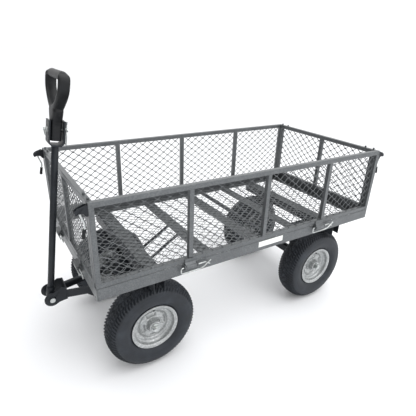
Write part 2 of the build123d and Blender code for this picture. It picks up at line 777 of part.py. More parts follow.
def r_clip():
    """The wire spring clip: its straight leg is in the pin's cross hole, its waved leg round the pin."""
    x = -CLEVIS_DEPTH / 2 - PIN_END / 2
    side = HITCH_PIN_R + CLIP_R + RUNNING
    path = FilletPolyline(
        (x, 0, HITCH_PIN_H + 26),
        (x, 0, HITCH_PIN_H - CLIP_DROP),
        (x, side + 7, HITCH_PIN_H - CLIP_DROP),
        (x, side + 7, HITCH_PIN_H - 14),
        (x, side + 1, HITCH_PIN_H - 6),
        (x, side + 3, HITCH_PIN_H + 8),
        (x, side + 1, HITCH_PIN_H + 18),
        (x, side + 5, HITCH_PIN_H + 27),
        radius=2.0,
    )
    section = Plane(origin=path @ 0, z_dir=path % 0) * Circle(CLIP_R)
    return leaned([sweep(section, path)])


def latch_bracket():
    """A folded bracket on a side's end post: two hooked ears and a back, with the lever's pin across them."""
    outline = Polygon(
        (0, LATCH_Z - 16),
        (0, LATCH_Z + 14),
        (6, LATCH_Z + 16),
        (LATCH_OUT + 4, LATCH_Z + 9),
        (LATCH_REACH, LATCH_Z + 2),
        (LATCH_REACH, LATCH_Z - 8),
        (LATCH_REACH - 5, LATCH_Z - 8),
        (LATCH_OUT + 2, LATCH_Z - 6),
        (12, LATCH_Z - 7),
        (6, LATCH_Z - 16),
        align=None,
    )
    half = BAR / 2
    x = HALF_LENGTH + LATCH_OUT
    outline -= Pos(LATCH_OUT, LATCH_Z) * Circle(LATCH_PIN_R)
    ears = []
    for low in (-half, half - SHEET):
        ears.append(Pos(HALF_LENGTH, LATCH_Y, 0) * slab(outline, "Y", low, low + SHEET))
    back = block(
        (HALF_LENGTH, HALF_LENGTH + SHEET),
        (LATCH_Y - half + SHEET, LATCH_Y + half - SHEET),
        (LATCH_Z - 16, LATCH_Z + 14),
    )
    pin = rod((x, LATCH_Y - half, LATCH_Z), (x, LATCH_Y + half, LATCH_Z), LATCH_PIN_R)
    return [ears[0] + back + ears[1], pin]


def latch_lever():
    """The lever's eye on the latch pin and its rod, bowed in towards the post and hanging down."""
    x = HALF_LENGTH + LATCH_OUT
    half = BAR / 2 - SHEET - 0.5
    eye = rod((x, LATCH_Y - half, LATCH_Z), (x, LATCH_Y + half, LATCH_Z), LATCH_PIN_R + 3)
    path = FilletPolyline(
        (x, LATCH_Y, LATCH_Z),
        (x - 4, LATCH_Y, LATCH_Z - 16),
        (x - 11, LATCH_Y, LATCH_Z - 36),
        (x - 11.5, LATCH_Y, LATCH_Z - 44),
        (x - 9, LATCH_Y, LATCH_Z - 55),
        radius=8,
    )
    section = Plane(origin=path @ 0, z_dir=path % 0) * Circle(LEVER_R)
    lever = eye + sweep(section, path)
    return [lever - rod((x, LATCH_Y - BAR, LATCH_Z), (x, LATCH_Y + BAR, LATCH_Z), LATCH_PIN_R + RUNNING)]


def latch_sleeve():
    """The plastic sleeve pushed onto the lever's end."""
    start = Vector(HALF_LENGTH + LATCH_OUT - 9, LATCH_Y, LATCH_Z - 55)
    end = start + Vector(5, 0, -26).normalized() * SLEEVE_LENGTH
    return [rod(tuple(start), tuple(end), SLEEVE_R)]


def cage_corner(shapes, front, left):
    """Latch solids drawn at the front left corner, moved to the corner asked for."""
    placed = list(shapes)
    if not left:
        placed = [mirror(shape, Plane.XZ) for shape in placed]
    if not front:
        placed = [mirror(shape, Plane.YZ) for shape in placed]
    return placed


def wheel_nodes(name, x, left):
    """Writes the nodes of one wheel."""
    pieces = {
        "tyre": tyre(x) + inner_tube(x),
        "rim": rim(x) + valve(x),
        "hub": hub(x) + hub_bearings(x),
    }
    for piece, solids in pieces.items():
        if not left:
            solids = [mirror(solid, Plane.XZ) for solid in solids]
        save(f"{name}_{piece}", solids)


def main():
    os.makedirs("parts", exist_ok=True)
    gate_pegs = (-GATE_HALF + BAR / 2, -GATE_HALF + BAR * 3, GATE_HALF - BAR * 3, GATE_HALF - BAR / 2)

    save("deck_side_rails", deck_side_rails())
    save("deck_end_rails", deck_end_rails())
    save("deck_straps", deck_straps())
    save("deck_floor_mesh", deck_floor())
    save("label_plate", label_plate())
    save("deck_bolsters", [bolster(FRONT_AXLE_X), bolster(REAR_BOLSTER_X)])
    save("front_pedestal", front_pedestal())
    save("king_bolt", king_bolt())
    save("underframe_stays", front_stays() + rear_stays())
    save("rear_hangers", rear_hangers())
    save("rear_brace_bar", brace_bar())

    for end, x in (("front", FRONT_AXLE_X), ("rear", REAR_AXLE_X)):
        save(f"{end}_axle_beam", axle_beam(x))
        save(f"{end}_spindles", spindles(x))
        save(f"{end}_axle_hardware", mirrored(wheel_hardware(x)))
        for side in ("left", "right"):
            wheel_nodes(f"{end}_{side}", x, side == "left")

    for side, quarter in (("left", 0), ("right", 180)):
        turn = Rot(0, 0, quarter)
        frame = [turn * bar for bar in side_placed(panel_bars(HALF_LENGTH, SIDE_POSTS, ()))]
        save(f"{side}_side_frame", frame + hinge_row(hinge_leaf, quarter, SIDE_HINGES))
        panes = side_placed(panel_mesh(HALF_LENGTH, SIDE_POSTS))
        save(f"{side}_side_mesh", [turn * pane for pane in panes])
    for end, quarter in (("front", -90), ("rear", 90)):
        frame = gate_placed(panel_bars(GATE_HALF, GATE_POSTS, gate_pegs), quarter)
        save(f"{end}_gate_frame", frame + hinge_row(hinge_leaf, quarter, GATE_HINGES))
        save(f"{end}_gate_mesh", gate_placed(panel_mesh(GATE_HALF, GATE_POSTS), quarter))
    for node, make in (("hinge_lugs", lug_pair), ("hinge_pins", hinge_pin)):
        pieces = []
        for quarter in (0, 90, 180, -90):
            stations = SIDE_HINGES if quarter in (0, 180) else GATE_HINGES
            pieces.extend(hinge_row(make, quarter, stations))
        save(node, pieces)

    for side in ("left", "right"):
        left = side == "left"
        brackets = cage_corner(latch_bracket(), True, left) + cage_corner(latch_bracket(), False, left)
        save(f"{side}_latch_brackets", brackets)
        for end in ("front", "rear"):
            lever = cage_corner(latch_lever() + latch_sleeve(), end == "front", left)
            save(f"{end}_{side}_latch_lever", lever)

    save("axle_risers", axle_risers())
    save("turntable_plate", turntable())
    save("turntable_washer", turntable_washer())
    save("drawbar_arms", mirrored([drawbar_arm()]))
    save("drawbar_knuckle", drawbar_knuckle())
    save("pivot_bolt", pivot_bolt())
    save("handle_foot", handle_foot())
    save("handle_tube", handle_tube())
    save("hitch_clevis", hitch_clevis())
    save("d_grip", d_grip())
    save("hitch_pin", hitch_pin())
    save("pin_ring", pin_ring())
    save("r_clip", r_clip())


ORIGIN_X = origin_x()
main()
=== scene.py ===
import math

import bmesh
import bpy
import numpy as np
from mathutils import Matrix, Vector


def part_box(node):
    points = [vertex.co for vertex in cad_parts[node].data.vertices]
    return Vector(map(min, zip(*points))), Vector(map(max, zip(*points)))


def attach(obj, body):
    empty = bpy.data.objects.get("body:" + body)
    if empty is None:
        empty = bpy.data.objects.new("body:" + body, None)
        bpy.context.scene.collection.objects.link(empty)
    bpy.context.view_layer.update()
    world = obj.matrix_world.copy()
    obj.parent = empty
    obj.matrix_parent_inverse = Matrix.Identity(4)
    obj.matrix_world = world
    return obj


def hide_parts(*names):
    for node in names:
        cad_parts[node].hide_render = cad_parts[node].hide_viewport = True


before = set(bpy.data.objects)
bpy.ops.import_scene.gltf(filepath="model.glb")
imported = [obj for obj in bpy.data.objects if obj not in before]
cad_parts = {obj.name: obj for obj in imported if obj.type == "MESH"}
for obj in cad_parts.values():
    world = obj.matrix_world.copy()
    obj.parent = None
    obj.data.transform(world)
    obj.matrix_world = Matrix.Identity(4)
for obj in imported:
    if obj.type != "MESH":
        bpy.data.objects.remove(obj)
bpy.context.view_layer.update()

# Garden cart. Sizes are in millimetres about the middle of the deck, on the ground: X forwards to the
# handle, Y left, Z up. place() turns them into the frame's metres.
MM = 0.001
RAIL_LOW, RAIL_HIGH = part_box("deck_side_rails")
SHIFT = (RAIL_LOW.x + RAIL_HIGH.x) / 2 / MM
HALF_LENGTH = 610.0
HALF_WIDTH = 305.0
CAGE_LOW = 421.0
CAGE_TOP = 689.0
BAR = 16.0
HINGE_AXIS = 10.0
HINGE_Z = 412.0
AXLE_Z = 165.0
TRACK_HALF = 220.0
AXLES = {"front": 412.0, "rear": -385.0}
SIDES = {"left": 1.0, "right": -1.0}


# ---------------------------------------------------------------- mesh building


def place(points):
    """Cart millimetres to the frame's metres."""
    return (np.asarray(points, float) + (SHIFT, 0.0, 0.0)) * MM


def circle(radius, count=16):
    """Points at equal angles on a circle."""
    angle = np.linspace(0, 2 * np.pi, count, endpoint=False)
    return np.stack((radius * np.cos(angle), radius * np.sin(angle)), 1)


def squircle(half_a, half_b, power, count=32):
    """A superellipse: |a/half_a|^power + |b/half_b|^power = 1, from a circle at 2 towards a square."""
    angle = np.linspace(0, 2 * np.pi, count, endpoint=False)
    a, b = np.cos(angle), np.sin(angle)
    return np.stack(
        (half_a * np.sign(a) * np.abs(a) ** (2 / power), half_b * np.sign(b) * np.abs(b) ** (2 / power)), 1
    )


def shell(rings, closed=False):
    """Quads between neighbouring rings of points; an open run of rings gets a flat cap at each end."""
    stations, around = rings.shape[:2]
    row = np.arange(stations if closed else stations - 1)[:, None] * around
    nxt = (row + around) % (stations * around)
    col = np.arange(around)[None, :]
    turn = (col + 1) % around
    quads = np.stack((row + col, nxt + col, nxt + turn, row + turn), -1).reshape(-1, 4)
    caps = []
    if not closed:
        caps = [list(range(around)), list(range((stations - 1) * around, stations * around))]
    return rings.reshape(-1, 3), quads, caps


def carried(path, profile, normal, closed=False, scale=1.0):
    """A profile carried along a path. Its first axis is the given normal, its second is square to both."""
    path = np.asarray(path, float)
    ahead = np.roll(path, -1, 0) - np.roll(path, 1, 0) if closed else np.gradient(path, axis=0)
    normal = np.asarray(normal, float) / np.linalg.norm(normal)
    across = np.cross(ahead, normal)
    across /= np.linalg.norm(across, axis=1)[:, None]
    scale = np.broadcast_to(np.asarray(scale, float), (len(path),))[:, None, None]
    spread = profile[None, :, :1] * normal + profile[None, :, 1:] * across[:, None, :]
    return shell(path[:, None, :] + scale * spread, closed)


def rounded(points, radius, steps=6):
    """A polyline whose inner corners are replaced by arcs of the given radius."""
    points = np.asarray(points, float)
    out = [points[:1]]
    for before, corner, after in zip(points[:-2], points[1:-1], points[2:]):
        to_before = (before - corner) / np.linalg.norm(before - corner)
        to_after = (after - corner) / np.linalg.norm(after - corner)
        half = math.acos(np.clip(to_before @ to_after, -1, 1)) / 2
        reach = radius / math.tan(half)
        middle = (to_before + to_after) / np.linalg.norm(to_before + to_after)
        centre = corner + middle * (radius / math.sin(half))
        start, end = corner + to_before * reach - centre, corner + to_after * reach - centre
        swing = math.pi - 2 * half
        t = np.linspace(0, 1, steps)[:, None]
        out.append(centre + (np.sin((1 - t) * swing) * start + np.sin(t * swing) * end) / math.sin(swing))
    out.append(points[-1:])
    return np.concatenate(out)


def turned(profile, x, side, count, lift=None):
    """A closed profile of (outboard, radius) points carried round a wheel's axle. lift(angle) changes it."""
    angle = np.linspace(0, 2 * np.pi, count, endpoint=False)
    out, radius = profile[None, :, 0], profile[None, :, 1]
    if lift is not None:
        out, radius = lift(angle[:, None], out, radius)
    rings = np.empty((count, len(profile), 3))
    rings[..., 0] = x + radius * np.cos(angle)[:, None]
    rings[..., 1] = side * (TRACK_HALF + out)
    rings[..., 2] = AXLE_Z + radius * np.sin(angle)[:, None]
    return shell(rings, closed=True)


def smooth_step(low, high, value):
    """0 below low, 1 above high and 3t^2 - 2t^3 between them."""
    t = np.clip((value - low) / (high - low), 0, 1)
    return t * t * (3 - 2 * t)


def zigzag(phase):
    """A triangle wave between 0 and 1 with period 1: 0 at whole numbers, 1 half-way between."""
    return 1 - np.abs(1 - 2 * (phase % 1.0))


def quarter_turned(points, quarter):
    """Points turned about the vertical by quarter turns, as for the four sides of the deck."""
    angle = quarter * math.pi / 2
    c, s = round(math.cos(angle)), round(math.sin(angle))
    x, y, z = points[..., 0], points[..., 1], points[..., 2]
    return np.stack((c * x - s * y, s * x + c * y, z), -1)


def make(name, shells, body, material, stands_for=(), crease=35):
    """One object from closed shells, with outward faces, riding on its body."""
    points, faces, start = [], [], 0
    for verts, quads, caps in shells:
        points.append(place(verts))
        faces.extend((quads + start).tolist())
        faces.extend([[i + start for i in cap] for cap in caps])
        start += len(verts)
    mesh = bpy.data.meshes.new(name)
    mesh.from_pydata(np.concatenate(points).tolist(), [], faces)
    work = bmesh.new()
    work.from_mesh(mesh)
    bmesh.ops.recalc_face_normals(work, faces=work.faces)
    work.to_mesh(mesh)
    work.free()
    mesh.shade_smooth()
    mesh.set_sharp_from_angle(angle=math.radians(crease))
    mesh.materials.append(material)
    piece = bpy.data.objects.new(name, mesh)
    bpy.context.scene.collection.objects.link(piece)
    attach(piece, body)
    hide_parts(*stands_for)
    return piece


# ---------------------------------------------------------------- finishes


def linear(code):
    """An sRGB hex colour as linear RGBA."""
    values = [int(code[i : i + 2], 16) / 255 for i in (1, 3, 5)]
    return [v / 12.92 if v <= 0.04045 else ((v + 0.055) / 1.055) ** 2.4 for v in values] + [1.0]


def add(tree, kind, inputs=None, stops=(), **settings):
    """One node with its settings, its inputs as values or links, and its colour stops as (position, hex)."""
    made = tree.nodes.new(kind)
    for key, value in settings.items():
        setattr(made, key, value)
    for key, value in (inputs or {}).items():
        if isinstance(value, bpy.types.NodeSocket):
            tree.links.new(value, made.inputs[key])
        else:
            made.inputs[key].default_value = value
    for index, (position, code) in enumerate(stops):
        elements = made.color_ramp.elements
        element = elements[index] if index < len(elements) else elements.new(position)
        element.position = position
        element.color = linear(code)
    return made


def per_metre(size_mm):
    """The texture scale at which one cell or wave is the given size."""
    return 1 / (size_mm * MM)


def finish(name, build):
    """A material. build(tree, where) gives the Principled shader's inputs; where is Object coordinates."""
    material = bpy.data.materials.new(name)
    material.use_nodes = True
    tree = material.node_tree
    tree.nodes.clear()
    where = add(tree, "ShaderNodeTexCoord").outputs["Object"]
    shader = add(tree, "ShaderNodeBsdfPrincipled", build(tree, where))
    add(tree, "ShaderNodeOutputMaterial", {"Surface": shader.outputs[0]})
    return material


NOISE = "ShaderNodeTexNoise"
CELLS = "ShaderNodeTexVoronoi"
COLOURS = "ShaderNodeValToRGB"
STRETCH = "ShaderNodeMapRange"
BUMP = "ShaderNodeBump"
MATHS = "ShaderNodeMath"
USUAL_ROUGH = 0.55
BROKEN_ROUGH = 0.6


def speckle(size_mm, detail, rough=USUAL_ROUGH):
    """Settings of a noise whose features are about the given size."""
    return {"Scale": per_metre(size_mm), "Detail": detail, "Roughness": rough}


def mottled(tree, patches, grain, stops, relief, gloss=None, tint=None):
    """What most finishes share: patches that shift the colour, and the roughness between the two values of
    gloss, over a fine raised grain of relief (depth in mm, strength). tint colours it in place of patches."""
    raised = {"Height": grain, "Distance": relief[0] * MM, "Strength": relief[1]}
    surface = {
        "Base Color": add(tree, COLOURS, {"Fac": tint or patches}, stops).outputs["Color"],
        "Normal": add(tree, BUMP, raised).outputs["Normal"],
    }
    if gloss:
        spread = {"Value": patches, "To Min": gloss[0], "To Max": gloss[1]}
        surface["Roughness"] = add(tree, STRETCH, spread).outputs["Result"]
    return surface


def hammered_paint(tree, where):
    """Hammer-tone enamel on steel: shallow round dimples 4.5 mm apart with paler rims, and a soft gloss."""
    dimples = {"Vector": where, "Scale": per_metre(4.5), "Smoothness": 0.6, "Randomness": 0.9}
    cells = add(tree, CELLS, dimples, feature="SMOOTH_F1").outputs["Distance"]
    cloud = add(tree, NOISE, {"Vector": where, **speckle(60, 4)}).outputs["Fac"]
    mixed = add(tree, MATHS, {0: cells, 1: cloud}, operation="MULTIPLY").outputs[0]
    stops = ((0.02, "#505254"), (0.2, "#5d6062"), (0.5, "#6c6f71"))
    surface = mottled(tree, cloud, cells, stops, (0.4, 0.35), (0.38, 0.5), mixed)
    return surface | {"Metallic": 0.45, "Coat Weight": 0.15, "Coat Roughness": 0.25}


def black_paint(tree, where):
    """Satin black powder coat: a cool near-black with fine orange peel and a little dust in patches."""
    peel = add(tree, NOISE, {"Vector": where, **speckle(1.6, 2)}).outputs["Fac"]
    patches = add(tree, NOISE, {"Vector": where, **speckle(45, 5, BROKEN_ROUGH)}).outputs["Fac"]
    stops = ((0.3, "#191c20"), (0.6, "#22262b"), (0.8, "#2c3137"))
    return mottled(tree, patches, peel, stops, (0.08, 0.6), (0.34, 0.52)) | {"Specular IOR Level": 0.28}


def zinc_plate(tree, where):
    """Bright zinc-plated steel: a pale cool metal with faint blotches and fine drawn lines."""
    lines = add(tree, NOISE, {"Vector": where, **speckle(0.8, 2)}).outputs["Fac"]
    blotches = add(tree, NOISE, {"Vector": where, **speckle(9, 4)}).outputs["Fac"]
    stops = ((0.3, "#a7abab"), (0.6, "#c6c9c8"), (0.8, "#d3d2ca"))
    return mottled(tree, blotches, lines, stops, (0.05, 0.5), (0.22, 0.42)) | {"Metallic": 1.0}


def rim_silver(tree, where):
    """Galvanised pressed steel: cool silver with a soft 6 mm spangle and rubbed high spots."""
    flakes = {"Vector": where, "Scale": per_metre(6.0)}
    spangle = add(tree, CELLS, flakes, feature="F1").outputs["Distance"]
    stain = add(tree, NOISE, {"Vector": where, **speckle(30, 5, BROKEN_ROUGH)}).outputs["Fac"]
    mixed = add(tree, MATHS, {0: stain, 1: spangle, 2: 0.2}, operation="MULTIPLY_ADD").outputs[0]
    stops = ((0.3, "#979a9b"), (0.55, "#b2b4b4"), (0.85, "#cacccd"))
    surface = mottled(tree, stain, stain, stops, (0.3, 0.15), (0.32, 0.46), mixed)
    return surface | {"Metallic": 0.65}


def tyre_rubber(tree, where):
    """Moulded black rubber with a bluish bloom: satin, finely pitted, paler where dust has settled."""
    pits = add(tree, NOISE, {"Vector": where, **speckle(1.8, 3)}).outputs["Fac"]
    bloom = add(tree, NOISE, {"Vector": where, **speckle(55, 4, BROKEN_ROUGH)}).outputs["Fac"]
    stops = ((0.25, "#1c1f23"), (0.55, "#272b31"), (0.85, "#383d44"))
    return mottled(tree, bloom, pits, stops, (0.15, 0.5), (0.42, 0.6)) | {"Specular IOR Level": 0.32}


def black_plastic(tree, where):
    """Moulded black polypropylene with a fine spark-eroded grain and a soft sheen."""
    grain = add(tree, NOISE, {"Vector": where, **speckle(1.2, 3)}).outputs["Fac"]
    wear = add(tree, NOISE, {"Vector": where, **speckle(35, 4)}).outputs["Fac"]
    stops = ((0.3, "#0e0f11"), (0.7, "#16181b"))
    return mottled(tree, wear, grain, stops, (0.1, 0.5), (0.4, 0.54)) | {"Specular IOR Level": 0.3}


def nylon(tree, where):
    """Natural nylon: ivory, slightly waxy, with faint tool marks."""
    marks = add(tree, NOISE, {"Vector": where, **speckle(4, 3)}).outputs["Fac"]
    stops = ((0.3, "#d9d6c8"), (0.7, "#e8e6da"))
    return mottled(tree, marks, marks, stops, (0.1, 0.4)) | {"Roughness": 0.45}


def label_vinyl(tree, where):
    """A blank pale vinyl sticker, faintly rippled over the paint's dimples."""
    ripple = add(tree, NOISE, {"Vector": where, **speckle(14, 3)}).outputs["Fac"]
    stops = ((0.3, "#e4e8e4"), (0.7, "#f1f3ef"))
    return mottled(tree, ripple, ripple, stops, (0.3, 0.4)) | {"Roughness": 0.3}


FINISHES = {
    "hammered_grey": finish("hammered_enamel", hammered_paint),
    "black_steel": finish("black_powder_coat", black_paint),
    "zinc_steel": finish("zinc_plated_steel", zinc_plate),
    "silver_rim": finish("galvanised_pressing", rim_silver),
    "tyre_rubber": finish("moulded_rubber", tyre_rubber),
    "black_plastic": finish("moulded_polypropylene", black_plastic),
    "nylon": finish("natural_nylon", nylon),
    "label": finish("blank_vinyl_label", label_vinyl),
}


# ---------------------------------------------------------------- expanded metal

MESH_LONG = 40.0
MESH_SHORT = 30.0
STRAND_HALF = 1.6
STRAND_THICK = 0.85
STRAND_TILT = math.radians(38)
BOND = 0.16
SIDE_TUCK = 2.0
RAIL_TUCK = 4.0
FLOOR_HALF = (604.0, 300.0)
FLOOR_Z = 383.0


def strand_section():
    """The slit strand's flat section, tilted out of the sheet, as (across, outwards) points."""
    a, b = STRAND_HALF, STRAND_THICK
    flat = np.array(((-a, -b * 0.5), (-a * 0.8, -b), (a, -b), (a, b * 0.5), (a * 0.8, b), (-a, b)))
    c, s = math.cos(STRAND_TILT), math.sin(STRAND_TILT)
    return np.stack((flat[:, 0] * c - flat[:, 1] * s, flat[:, 0] * s + flat[:, 1] * c), 1)


def expanded_metal(u_span, v_span, to_cart):
    """Rows of slit strands. Each runs along u and steps between two neighbouring bond lines half a short
    pitch apart: v = line + w + (half pitch - 2w) * s(u), where s is a zigzag flattened at the bonds. At a
    bond it lies beside the next row's strand, and steps out of the sheet as the strands' tilt makes it."""
    half_row = MESH_SHORT / 2
    columns = int(round((u_span[1] - u_span[0]) / MESH_LONG))
    rows = int(round((v_span[1] - v_span[0]) / half_row))
    u_start = (u_span[0] + u_span[1] - columns * MESH_LONG) / 2
    v_start = (v_span[0] + v_span[1] - rows * half_row) / 2
    key = np.array((0, BOND / 2, 0.5 - BOND / 2, 0.5, 0.5 + BOND / 2, 1 - BOND / 2))
    phase = np.append((np.arange(columns)[:, None] + key[None, :]).ravel(), float(columns))
    step = smooth_step(0.0, 1.0, np.clip((zigzag(phase) - BOND) / (1 - 2 * BOND), 0, 1))
    step = np.clip((zigzag(phase) - BOND) / (1 - 2 * BOND), 0, 1) * 0.6 + step * 0.4
    reach = STRAND_HALF * math.cos(STRAND_TILT)
    lift = STRAND_HALF * math.sin(STRAND_TILT)
    section = strand_section()
    shells = []
    for row in range(rows):
        rise = step if row % 2 == 0 else 1 - step
        v = v_start + row * half_row + reach + (half_row - 2 * reach) * rise
        w = lift * (1 - 2 * rise)
        u = u_start + phase * MESH_LONG
        rings = np.empty((len(phase), len(section), 3))
        rings[..., 0] = u[:, None]
        rings[..., 1] = v[:, None] + section[None, :, 0]
        rings[..., 2] = w[:, None] + section[None, :, 1]
        verts, quads, caps = shell(rings)
        shells.append((to_cart(verts), quads, caps))
    return shells


def panel_panes(half, posts, edge, quarter):
    """The panes of one upright panel, each between two posts, in the middle of the bars."""
    stations = sorted([-half + BAR / 2, *posts, half - BAR / 2])
    shells = []
    for left, right in zip(stations[:-1], stations[1:]):

        def upright(points):
            moved = np.stack((points[:, 0], edge - BAR / 2 + points[:, 2], points[:, 1]), 1)
            return quarter_turned(moved, quarter)

        across = (left + BAR / 2 - SIDE_TUCK, right - BAR / 2 + SIDE_TUCK)
        shells += expanded_metal(across, (CAGE_LOW + BAR - RAIL_TUCK, CAGE_TOP - BAR + RAIL_TUCK), upright)
    return shells


def floor_mesh():
    """The floor sheet, lying on the deck's straps and flanges."""
    lift = STRAND_HALF * math.sin(STRAND_TILT) * 2 + STRAND_THICK
    u, v = FLOOR_HALF
    return expanded_metal((-u, u), (-v, v), lambda p: p + (0.0, 0.0, FLOOR_Z + lift))


GATE_HALF = 287.0
SIDE_POSTS = (300.0, -8.0, -316.0)
GATE_POSTS = (0.0,)
PANELS = (
    ("left_side", HALF_WIDTH, HALF_LENGTH, SIDE_POSTS, 0, "left_side"),
    ("right_side", HALF_WIDTH, HALF_LENGTH, SIDE_POSTS, 2, "right_side"),
    ("rear_gate", HALF_LENGTH, GATE_HALF, GATE_POSTS, 1, "rear_gate"),
    ("front_gate", HALF_LENGTH, GATE_HALF, GATE_POSTS, 3, "chassis"),
)
GREY = FINISHES["hammered_grey"]
make("floor_expanded_metal", floor_mesh(), "chassis", GREY, ["deck_floor_mesh"], 50)
for name, edge, half, posts, quarter, body in PANELS:
    make(
        name + "_expanded_metal",
        panel_panes(half, posts, edge, quarter),
        body,
        GREY,
        [name + "_mesh"],
        50,
    )


# ---------------------------------------------------------------- welds


def weld_bead(start, end, normal, radius=2.2, pitch=2.6):
    """A rippled bead: a round section along the joint whose radius rises and falls once a ripple."""
    start, end = np.asarray(start, float), np.asarray(end, float)
    length = np.linalg.norm(end - start)
    count = max(int(length / pitch * 4), 8)
    t = np.linspace(0, 1, count)
    ripple = 1 + 0.14 * np.cos(2 * np.pi * t * length / pitch)
    taper = 0.35 + 0.65 * np.sin(np.pi * np.clip(t, 0.02, 0.98)) ** 0.35
    return carried(start + t[:, None] * (end - start), circle(radius, 8), normal, scale=ripple * taper)


def panel_welds(half, posts, edge, quarter):
    """Beads in the corners where each post meets the two rails."""
    shells = []
    inner = edge - BAR + 3.5
    outer = edge - 3.5
    ends = ((-half + BAR / 2, (1,)), (half - BAR / 2, (-1,)))
    for x, sides in (ends[0], *((post, (-1, 1)) for post in posts), ends[1]):
        for side in sides:
            for z in (CAGE_LOW + BAR, CAGE_TOP - BAR):
                corner = x + side * BAR / 2
                verts, quads, caps = weld_bead((corner, inner, z), (corner, outer, z), (1, 0, 0))
                shells.append((quarter_turned(verts, quarter), quads, caps))
    return shells


for name, edge, half, posts, quarter, body in PANELS:
    make(name + "_welds", panel_welds(half, posts, edge, quarter), body, GREY, (), 60)


# ---------------------------------------------------------------- hinge wires

WIRE_R = 2.5


def hinge_wire(edge, along, quarter):
    """One wire pin: straight through the knuckle, down at its nose and back below, crossing its own tail."""
    path = rounded(
        (
            (-72, 0, -11),
            (-54, 0, 0),
            (37, 0, 0),
            (37, 1, -19),
            (-30, 1, -19),
            (-44, 5, -13),
            (-72, 5, 7),
        ),
        5.0,
    )
    fine = np.linspace(0, 1, 90)
    length = np.append(0, np.cumsum(np.linalg.norm(np.diff(path, axis=0), axis=1)))
    even = np.stack([np.interp(fine * length[-1], length, path[:, axis]) for axis in range(3)], 1)
    verts, quads, caps = carried(even + (along, edge + HINGE_AXIS, HINGE_Z), circle(WIRE_R, 10), (0, 1, 0))
    return quarter_turned(verts, quarter), quads, caps


SIDE_HINGES = (-295, 305)
GATE_HINGES = (-130, 130)
wires = [hinge_wire(HALF_WIDTH, along, quarter) for quarter in (0, 2) for along in SIDE_HINGES]
wires += [hinge_wire(HALF_LENGTH, along, quarter) for quarter in (1, 3) for along in GATE_HINGES]
make("hinge_wires", wires, "chassis", FINISHES["zinc_steel"], ["hinge_pins"], 60)


# ---------------------------------------------------------------- wheels

WALL_RADIUS = 121.0
TREAD_LUGS = 78
TREAD_DEPTH = 5.5
SAMPLES_PER_LUG = 8


def tyre_profile():
    """Outside of the tyre as a superellipse in (outboard, radius), evened out along its length, and closed
    by a coarse inside. Its widest point is half-way up the wall, and it ends in the two beads."""
    angle = np.linspace(math.radians(-139), math.radians(139), 400)
    power = 2 / 2.45
    out = 50 * np.sign(np.sin(angle)) * np.abs(np.sin(angle)) ** power
    radius = WALL_RADIUS + 43.9 * np.sign(np.cos(angle)) * np.abs(np.cos(angle)) ** power
    length = np.append(0, np.cumsum(np.hypot(np.diff(out), np.diff(radius))))
    even = np.linspace(0, length[-1], 75)
    outside = np.stack((np.interp(even, length, out), np.interp(even, length, radius)), 1)
    inside = np.array(((38, 77), (27, 78), (34, 92), (42, 118), (30, 148), (0, 156)), float)
    other = inside[:-1][::-1] * (-1, 1)
    return np.concatenate((outside, inside, other))


def tread(angle, out, radius):
    """The turf tread, cut into the crown and shoulders. Slanted grooves run from a middle zigzag out over
    each shoulder: depth = D * groove(N*angle/2pi + slant*|out|), and two zigzag grooves run round."""
    turns = TREAD_LUGS * angle / (2 * np.pi)
    width = np.abs(out)
    crown = smooth_step(143.0, 148.0, radius) * (radius > 142)
    side = np.where(out > 0, 0.0, 0.5)
    slant = turns + side + width * 0.055
    cross = smooth_step(0.40, 0.62, zigzag(slant)) * smooth_step(9.0, 13.0, width)
    middle = smooth_step(0.5, 0.75, zigzag(turns * 0.5 + side - width * 0.08))
    middle = middle * (1 - smooth_step(9.0, 12.0, width))
    wander = 3.0 * (zigzag(turns) - 0.5)
    around = 1 - smooth_step(1.5, 3.0, np.abs(width - 12.0 - wander))
    around = np.maximum(around, 1 - smooth_step(1.3, 2.7, np.abs(width - 31.0 + wander)))
    cut = np.maximum(np.maximum(cross, middle), around) * crown
    reach = np.hypot(out, radius - WALL_RADIUS)
    scale = 1 - TREAD_DEPTH * cut / np.maximum(reach, 1)
    ring = 1.2 * np.exp(-(((radius - 128.0) / 2.2) ** 2)) + 1.0 * np.exp(-(((radius - 99.0) / 2.0) ** 2))
    sink = np.where(np.abs(out) > 20, np.sign(out) * ring * (np.abs(out) > 36), 0.0)
    return out * scale - sink * 0.5, WALL_RADIUS + (radius - WALL_RADIUS) * scale


def rim_barrel():
    """Section of the rolled barrel: both flanges with rolled lips, bead seats and the drop centre."""
    seats = ((-41, 86), (-41, 75), (-22, 74), (-15, 66), (8, 66), (17, 74), (38, 75), (40.5, 80), (41, 86))
    line = rounded(seats, 2.5, 4)
    ahead = np.gradient(line, axis=0)
    ahead /= np.linalg.norm(ahead, axis=1)[:, None]
    normal = np.stack((-ahead[:, 1], ahead[:, 0]), 1)
    return np.concatenate((line + normal * 1.4, (line - normal * 1.4)[::-1]))


# The pressed disc from its rim in to the hub, as (radius, outboard height).
DISC_STEPS = (
    (74.0, 31.0),
    (71.0, 25.0),
    (68.0, 23.0),
    (63.0, 22.5),
    (58.0, 22.0),
    (55.5, 19.5),
    (54.0, 15.5),
    (52.0, 15.0),
    (50.0, 19.5),
    (47.0, 21.0),
    (40.0, 21.0),
    (33.0, 21.0),
    (29.5, 22.0),
    (27.0, 22.0),
    (25.0, 17.5),
    (23.5, 17.5),
    (22.0, 24.0),
    (21.5, 29.0),
)
POCKETS = 4


def disc_profile():
    """Section of the pressed disc: a sloped rim, a groove, the pocketed field and a collar at the hub."""
    steps = np.array(DISC_STEPS)
    radius = np.linspace(steps[0, 0], steps[-1, 0], 64)
    height = np.interp(-radius, -steps[:, 0], steps[:, 1])
    height = np.convolve(np.pad(height, 2, "edge"), (0.1, 0.2, 0.4, 0.2, 0.1), "valid")
    front = np.stack((height, radius), 1)
    return np.concatenate((front, (front - (2.4, 0.0))[::-1]))


